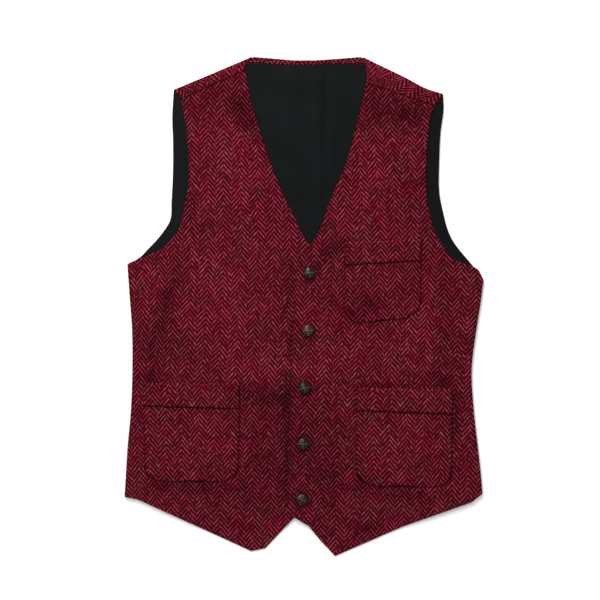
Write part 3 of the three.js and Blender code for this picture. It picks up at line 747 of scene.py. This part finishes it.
def make_back():
    """The back, and its cloth carried over both shoulders to the fronts' seams."""
    clear = OVERLAP * SLOPE
    # The body's upper edge runs under the two wraps and steps up to the neck's edge between them.
    top = [(x, y - clear) for x, y in RIGHT_FOLD[:2]] + [(-74, 345.3), (-70.5, 350.2)]
    top += NECK_EDGE[1:-1] + [(80, 350.2), (83.5, 345.2)]
    top += [(x, y - clear) for x, y in reversed(LEFT_FOLD[:-1])]
    up, across = BACK_STEPS
    rows = section_numbers(BACK_RIGHT, BACK_LEFT, up)
    body = panel(BACK_RIGHT, BACK_LEFT, rows, across, lambda x, y: np.full_like(x, BACK_Z), top=top,
                 fold_left=1, fold_right=1)
    # Soft creases draw the under face in: from, to, spread and depth.
    drawn = [(-150, 40, -60, -10, 12, 0.5), (150, 30, 70, -20, 12, 0.5), (-120, -60, 110, -70, 14, 0.35),
             (0, 280, 4, 60, 10, 0.3), (-90, 200, -120, 120, 14, 0.45), (100, 210, 130, 120, 14, 0.45),
             (-60, -120, -80, -240, 16, 0.4), (80, -110, 60, -230, 16, 0.4)]
    deepest = 0.7
    off = np.minimum.reduce(edge_distances(body))
    sunk = np.minimum(ridges(drawn, body[..., 0], body[..., 1]), deepest) * smooth(6, 20, off)
    right, right_grain = shoulder_wrap(RIGHT_FOLD, RIGHT_SEAM, -NECK_BOW)
    left, left_grain = shoulder_wrap(LEFT_FOLD, LEFT_SEAM, NECK_BOW)
    # The left wrap's points run from the armhole in too, so its columns turn to face up.
    left, left_grain = left[:, ::-1], left_grain[:, ::-1]
    right, right_grain = right[::-1], right_grain[::-1]
    left, left_grain = left[::-1], left_grain[::-1]
    wrap = CLOTH - 0.1  # a little thinner, so that its faces lie just inside the body's under the fold
    # The body takes the back's painted light and shade, and the wraps the fronts' painted light and shade.
    layers = [(body, CLOTH, straight_grain(body, 6), painted_lightness(body, BACK_PAINTED_LIGHT_AND_SHADE)),
              (right, wrap, right_grain, painted_lightness(right, PAINTED_LIGHT_AND_SHADE)), (left, wrap, left_grain, painted_lightness(left, PAINTED_LIGHT_AND_SHADE))]
    cloth("back_tweed", layers, TWEED, "back", "tweed", sunk=sunk)


def make_lining():
    """The back's lining. It stops short of the back's edges and meets the neck band."""
    def inset(t):
        corner = smooth(UNDERARM - 1, UNDERARM - 0.2, t) * (1 - smooth(UNDERARM + 0.4, UNDERARM + 0.8, t))
        side_to_armhole = smooth(UNDERARM + 0.7, UNDERARM + 1, t)
        return mix(SHORT_OF_SIDE, SHORT_OF_ARMHOLE, side_to_armhole) + SHORT_AT_UNDERARM * corner

    shoulder_gap = 2.4
    clear = (FOLD_AXIS + shoulder_gap) * SLOPE
    top = [(x, y - clear) for x, y in RIGHT_FOLD[:2]] + [(-80, 340.5)]
    top += [(x, y - GAP) for x, y in BAND_LOW[1:-1]] + [(88, 339.5)]
    top += [(x, y - clear) for x, y in reversed(LEFT_FOLD[:-1])]
    # The ease pleat at centre back and the satin's loose folds, which lie only in the open neck and die
    # away under its band and toward its edges.
    loose = [(19, 330, 19, 100, 7, 1.0), (24, 336, 23, 150, 3.2, 0.5), (-28, 330, -8, 150, 12, 0.7),
             (50, 330, 36, 190, 10, 0.6), (-52, 300, -34, 220, 9, 0.4), (2, 250, 8, 130, 6, 0.35)]

    def z(x, y):
        open_ = smooth(130, 175, y) * (1 - smooth(318, 336, y))
        near = np.minimum(x - line_y([(y_, x_) for x_, y_ in RIGHT_EDGE[10:]], y),
                          line_y([(y_, x_) for x_, y_ in LEFT_EDGE[10:]], y) - x)
        return LINING_Z + ridges(loose, x, y) * open_ * smooth(0, 16, near)

    up, across = LINING_STEPS
    rows = section_numbers(BACK_RIGHT, BACK_LEFT, up, LINING_HEM)
    grid = panel(BACK_RIGHT, BACK_LEFT, rows, across, z, top=top, inset=inset)
    cloth("satin_lining", [(grid, SATIN, straight_grain(grid, 0), painted_lightness(grid, []))], SATIN_BLACK,
          "back_lining", "lining")


def make_neck_band():
    """The band inside the neck, from one shoulder to the other, with its ends under the two wraps."""
    ends = (BAND_LOW[0][0] + 1, BAND_LOW[-1][0])
    columns = 110
    x = np.concatenate([ends[0] + EDGE_STEPS[:-1], np.linspace(ends[0] + 2, ends[1] - 2, columns),
                        ends[1] - EDGE_STEPS[-2::-1]])
    right_end, left_end = NECK_EDGE[0][0], NECK_EDGE[-1][0]
    right_fold = line_y(RIGHT_FOLD, np.minimum(x, right_end))
    left_fold = line_y(LEFT_FOLD, np.maximum(x, left_end))
    under = np.minimum(right_fold, left_fold) - (FOLD_AXIS + 1) * SLOPE
    below_edge = 0.4
    high = np.where((x < right_end) | (x > left_end), under, line_y(NECK_EDGE, x) - below_edge)
    up = np.array([0, 0.015, 0.05, 0.1, 0.2, 0.35, 0.5, 0.65, 0.8, 0.9, 0.95, 0.985, 1])[:, None]
    y = mix(line_y(BAND_LOW, x), high, up)
    grid = np.stack([np.broadcast_to(x, y.shape), y, np.full_like(y, BAND_Z)], axis=2)
    cloth("neck_band_tweed", [(grid, BAND, straight_grain(grid, -54), painted_lightness(grid, []))], TWEED,
          "back_neck_band", "tweed")


def pocket_grid(top, low, across, down, panel_z, clear, corner=(0, 0), puff=0.0, sag=0.0):
    """A patch on a front, from its upper corners to its lower ones, moved out from the front's points.
    Its lower corners are quarter ellipses: the side draws in as the depth runs out. It puffs up
    between its edges as the product of two sines, and its lower edge sags as a parabola."""
    top, low = np.array(top, float), np.array(low, float)
    depth = np.linalg.norm(top[0] - low[0])
    left, right = mix(top[0], low[0], down[:, None]), mix(top[1], low[1], down[:, None])
    rounds, high = corner
    rest = np.clip((down * depth - (depth - high)) / max(high, 1e-6), 0, 1)
    inset = rounds * (1 - np.sqrt(1 - rest * rest)) if high else np.zeros_like(down)
    wide = np.linalg.norm(right - left, axis=1)
    share = mix((inset / wide)[:, None], (1 - inset / wide)[:, None], across)
    place = left[:, None] + (right - left)[:, None] * share[..., None]
    x, y = place[..., 0], place[..., 1]
    y = y - sag * 4 * share * (1 - share) * down[:, None] ** 3
    rise = puff * np.sin(math.pi * across) ** 0.4 * np.sin(math.pi * down[:, None]) ** 0.4
    return np.stack([x, y, panel_z(x, y) + CLOTH / 2 + GAP + clear + rise], axis=2)


def patch_steps(long, count):
    """Shares of a length: close together at both ends and even between them."""
    near = EDGE_STEPS / long
    return np.unique(np.concatenate([near, np.linspace(near[-1], 1 - near[-1], count), 1 - near]).round(6))


def make_pocket(name, pocket):
    """A patch pocket of two pieces: the bag, and the cuff sewn across its top."""
    z = front_z if pocket["top"][0][0] < 0 else left_front_z
    wide = pocket["seam"][1][0] - pocket["seam"][0][0]
    deep = pocket["seam"][0][1] - pocket["low"][0][1]
    tall = pocket["top"][0][1] - pocket["seam"][0][1]
    rounded = pocket["corner"][1]
    # The bag's corners bend sharply at its very foot, so its rows crowd there.
    foot = 1 - (1 - np.cos(np.radians(np.linspace(4, 40, 12)))) * rounded / deep
    down = np.unique(np.concatenate([patch_steps(deep, 40), foot]).clip(GAP / deep, 1).round(5))
    bag = pocket_grid(pocket["seam"], pocket["low"], patch_steps(wide, 48), down, z,
                      POCKET / 2, pocket["corner"], puff=0.7, sag=2.0)
    cuff = pocket_grid(pocket["top"], pocket["seam"], patch_steps(wide, 48),
                       patch_steps(tall, 12) * (1 - GAP / tall), z, POCKET_CUFF / 2, puff=0.35)
    # Painted shade along the bag's edges is heaviest round its foot, and a painted highlight lies along the
    # cuff's upper edge.
    round_foot = smooth(deep - rounded * 1.3, deep - rounded * 0.6, down * deep)[::-1, None]
    bag_painted_shade = (mix(0.4, 0.95, round_foot), mix(0.5, 0.9, round_foot), 0.97, 0.3)
    cuff_painted_shade_and_highlight = (0.25, 0.5, 0.6, -0.3)
    for part, grid, thick, turned in (("bag", bag, POCKET, bag_painted_shade),
                                      ("cuff", cuff, POCKET_CUFF, cuff_painted_shade_and_highlight)):
        grid = grid[::-1]
        node = name if part == "bag" else f"{name}_cuff"
        peak, repeat = pocket[f"{part}_peak"]
        # Each piece takes the fronts' painted light and shade, and the painted edge shade and highlight
        # given above.
        layer = (grid, thick, straight_grain(grid, peak, repeat), painted_lightness(grid, PAINTED_LIGHT_AND_SHADE, turned))
        cloth(f"{name}_{part}_tweed", [layer], TWEED, node, "tweed", PRESSED_HIGH)


def plait(a, b):
    """How high the plait stands, up to 1, at shares a and b of the radius along its two directions. Two
    narrow strips cross on its crown. In the four quarters between them more strips run side by side,
    each round across as the root of a sine, and turn at each quarter."""
    # Over two quarters the strips run along a, over the other two along b.
    lane = np.where(a * b > 0, np.abs(a), np.abs(b))
    strips = np.abs(np.sin(math.pi * (lane * STRIPS + 0.25)))
    cross = 1 - smooth(0.02, 0.15, np.minimum(np.abs(a), np.abs(b)))
    return np.maximum(STRIP_HIGH * strips ** 0.7, cross)


def knot_button(name, turn, tan):
    """A half ball plaited from leather strips. Its profile is a quarter circle from the crown to the rim
    and a flat foot under it, and the plait's relief stands on the half ball."""
    low, high = (np.array(v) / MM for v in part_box(name))
    centre, size = (low + high) / 2, high - low
    radius, rim, drawn_in = size[0] / 2, 2.4, 0.3
    rise = size[2] - rim - PLAIT_DEEP
    angle = np.linspace(0.02, math.pi / 2, 60)
    under = np.linspace(0.1, 1, 10)
    reach = np.concatenate([radius * np.sin(angle), radius * (1 - drawn_in * under ** 2)])
    z = np.concatenate([rim + rise * np.cos(angle), rim * (1 - under)])
    round_ = np.linspace(0, 2 * math.pi, 120, endpoint=False)
    x, y = reach[:, None] * np.cos(round_), reach[:, None] * np.sin(round_)
    z = np.broadcast_to(z[:, None], x.shape)
    c, s = math.cos(math.radians(turn)), math.sin(math.radians(turn))
    weave = plait((c * x + s * y) / radius, (c * y - s * x) / radius)
    fade = 1 - smooth(0.0, 0.8, (rim - z) / rim)
    # The relief stands out along the half ball's own lines, a little steeper.
    out = np.stack([x / radius * 0.8, y / radius * 0.8, np.clip((z - rim) / rise, 0, 1)], axis=2)
    out /= np.linalg.norm(out, axis=2, keepdims=True) + 1e-9
    places = np.stack([x, y, z], axis=2) + out * ((weave - STRIP_HIGH) * PLAIT_DEEP * fade)[..., None]
    rows, cols = x.shape
    index = np.arange(rows * cols).reshape(rows, cols)
    side = np.roll(index, -1, axis=1)
    quads = np.stack([index[:-1], index[1:], side[1:], side[:-1]], axis=2).reshape(-1, 4)
    crown, foot = rows * cols, rows * cols + 1
    faces = quads.tolist() + [[crown, p, q] for p, q in zip(index[0], side[0])]
    faces += [[foot, q, p] for p, q in zip(index[-1], side[-1])]
    places = np.concatenate([places.reshape(-1, 3), [places[0].mean(axis=0)], [(0, 0, 0)]])
    places += (centre[0], centre[1], low[2])
    mesh = piece(f"{name}_leather", places, faces, LEATHER, "button_leather", name).data
    # crown sets where the leather is painted browner: wear, and a painted highlight on the crowns.
    point_values(mesh, "crown", np.concatenate([(weave * fade).ravel(), [0.5, 0]]))
    point_values(mesh, "tan", np.full(len(places), tan))
    return centre


def buttonhole(centre, reach):
    """A worked buttonhole: a bead of twist carried round a long narrow loop, its radius rippling once a
    stitch. The bead is a tube about the loop, and the loop lies on the left front."""
    long, narrow, bead, stitches = 9.0 + reach / 2, 1.1, 0.75, 44
    aside, tilt, lift, ripple = 2 + reach / 2, 0.03, 0.35, 0.16
    t = np.linspace(0, 2 * math.pi, stitches * 6, endpoint=False)
    x = centre[0] + aside + long * np.sign(np.cos(t)) * np.abs(np.cos(t)) ** 0.5
    y = centre[1] + narrow * np.sign(np.sin(t)) * np.abs(np.sin(t)) ** 0.5 + (x - centre[0]) * tilt
    path = np.stack([x, y, left_front_z(x, y) + CLOTH / 2 + lift], axis=1)
    ahead = np.roll(path, -1, axis=0) - np.roll(path, 1, axis=0)
    upward = np.array([0, 0, 1.0])
    side = np.cross(ahead, upward)
    side /= np.linalg.norm(side, axis=1, keepdims=True)
    around = np.linspace(0, 2 * math.pi, 8, endpoint=False)[:, None, None]
    thick = bead * (1 + ripple * np.cos(t * stitches))
    ring = path + thick[:, None] * (side * np.cos(around) + upward * np.sin(around))
    index = np.arange(ring.shape[0] * ring.shape[1]).reshape(ring.shape[:2])
    up, on = np.roll(index, -1, axis=0), np.roll(index, -1, axis=1)
    faces = np.stack([index, up, np.roll(up, -1, axis=1), on], axis=2).reshape(-1, 4)
    return {"places": ring.reshape(-1, 3), "faces": faces}


def make_fastening():
    """The five buttons, and the buttonholes that reach past them, worked as one mesh of twist."""
    holes = []
    for name, (turn, tan, reach) in BUTTONS.items():
        centre = knot_button(name, turn, tan)
        holes.append(buttonhole(centre, reach))
    piece("buttonholes", *joined(holes), TWIST, "tweed")


# ---------------------------------------------------------------- floor, light and camera

def make_floor():
    mesh = bpy.data.meshes.new("paper_floor")
    half, under = 4.0, -0.0002
    corners = [(x * half, y * half, under) for x, y in ((-1, -1), (1, -1), (1, 1), (-1, 1))]
    mesh.from_pydata(corners, [], [(0, 1, 2, 3)])
    mesh.materials.append(studio_paper())
    floor = bpy.data.objects.new("paper_floor", mesh)
    bpy.context.scene.collection.objects.link(floor)


def area_light(name, place, size, power, colour):
    light = bpy.data.lights.new(name, "AREA")
    light.size, light.energy, light.color = size, power, linear(colour)[:3]
    lamp = bpy.data.objects.new(name, light)
    lamp.location = place
    lamp.rotation_mode = "QUATERNION"
    lamp.rotation_quaternion = lamp.location.to_track_quat("Z", "Y")
    bpy.context.scene.collection.objects.link(lamp)


def make_studio():
    """A soft key light over the neck's left, its bright middle, a wide fill opposite, and a pale room."""
    area_light("key", (-0.9, 1.7, 1.9), 2.0, 60, "#fffaf5")
    area_light("key_middle", (-0.75, 1.9, 1.4), 0.3, 29, "#fffaf5")
    area_light("fill", (1.6, -0.9, 2.2), 2.0, 6, "#f5f8ff")
    world = bpy.data.worlds.new("pale room")
    world.use_nodes = True
    world.node_tree.nodes["Background"].inputs["Color"].default_value = linear("#fbfbfc")
    world.node_tree.nodes["Background"].inputs["Strength"].default_value = 0.66
    bpy.context.scene.world = world
    bpy.context.scene.view_settings.view_transform = "Standard"


def make_camera():
    """Straight down from above, with the vest a little off centre in a square 840 mm wide."""
    camera = bpy.data.cameras.new("camera")
    camera.lens, camera.sensor_width = 100, 36
    view_wide = 0.84
    above = view_wide * camera.lens / camera.sensor_width
    seen = bpy.data.objects.new("camera", camera)
    low, high = cad_box
    off_centre = (-5.6 * MM, 9.1 * MM)
    x, y = [(low[n] + high[n]) / 2 + off_centre[n] for n in (0, 1)]
    seen.location = (x, y, above + high[2] / 2)
    bpy.context.scene.collection.objects.link(seen)
    bpy.context.scene.camera = seen


make_camera()
make_floor()
make_studio()
make_back()
make_lining()
make_neck_band()
# turned is each front's painted shade along its edges (left, right, low, high): the right front's along its
# front edge, the left front's along its lap, and both along the shoulder seam.
make_front("front_right_tweed", "front_right", RIGHT_SIDE, RIGHT_EDGE, RIGHT_HEM, front_z,
           lambda grid: leaning_grain(grid, RIGHT_PEAK, RIGHT_LEAN, RIGHT_EASED), ["satin_lining"],
           turned=(0, 0.25, 0, 0.5), fold_left=-1)
make_front("front_left_tweed", "front_left", LEFT_EDGE, LEFT_SIDE, LEFT_HEM, left_front_z,
           lambda grid: leaning_grain(grid, LEFT_PEAK, LEFT_LEAN), ["satin_lining", "front_right_tweed"],
           turned=(0.35, 0, 0, 0.5), fold_right=-1)
for pocket_name, pocket_sizes in POCKETS.items():
    make_pocket(pocket_name, pocket_sizes)
make_fastening()
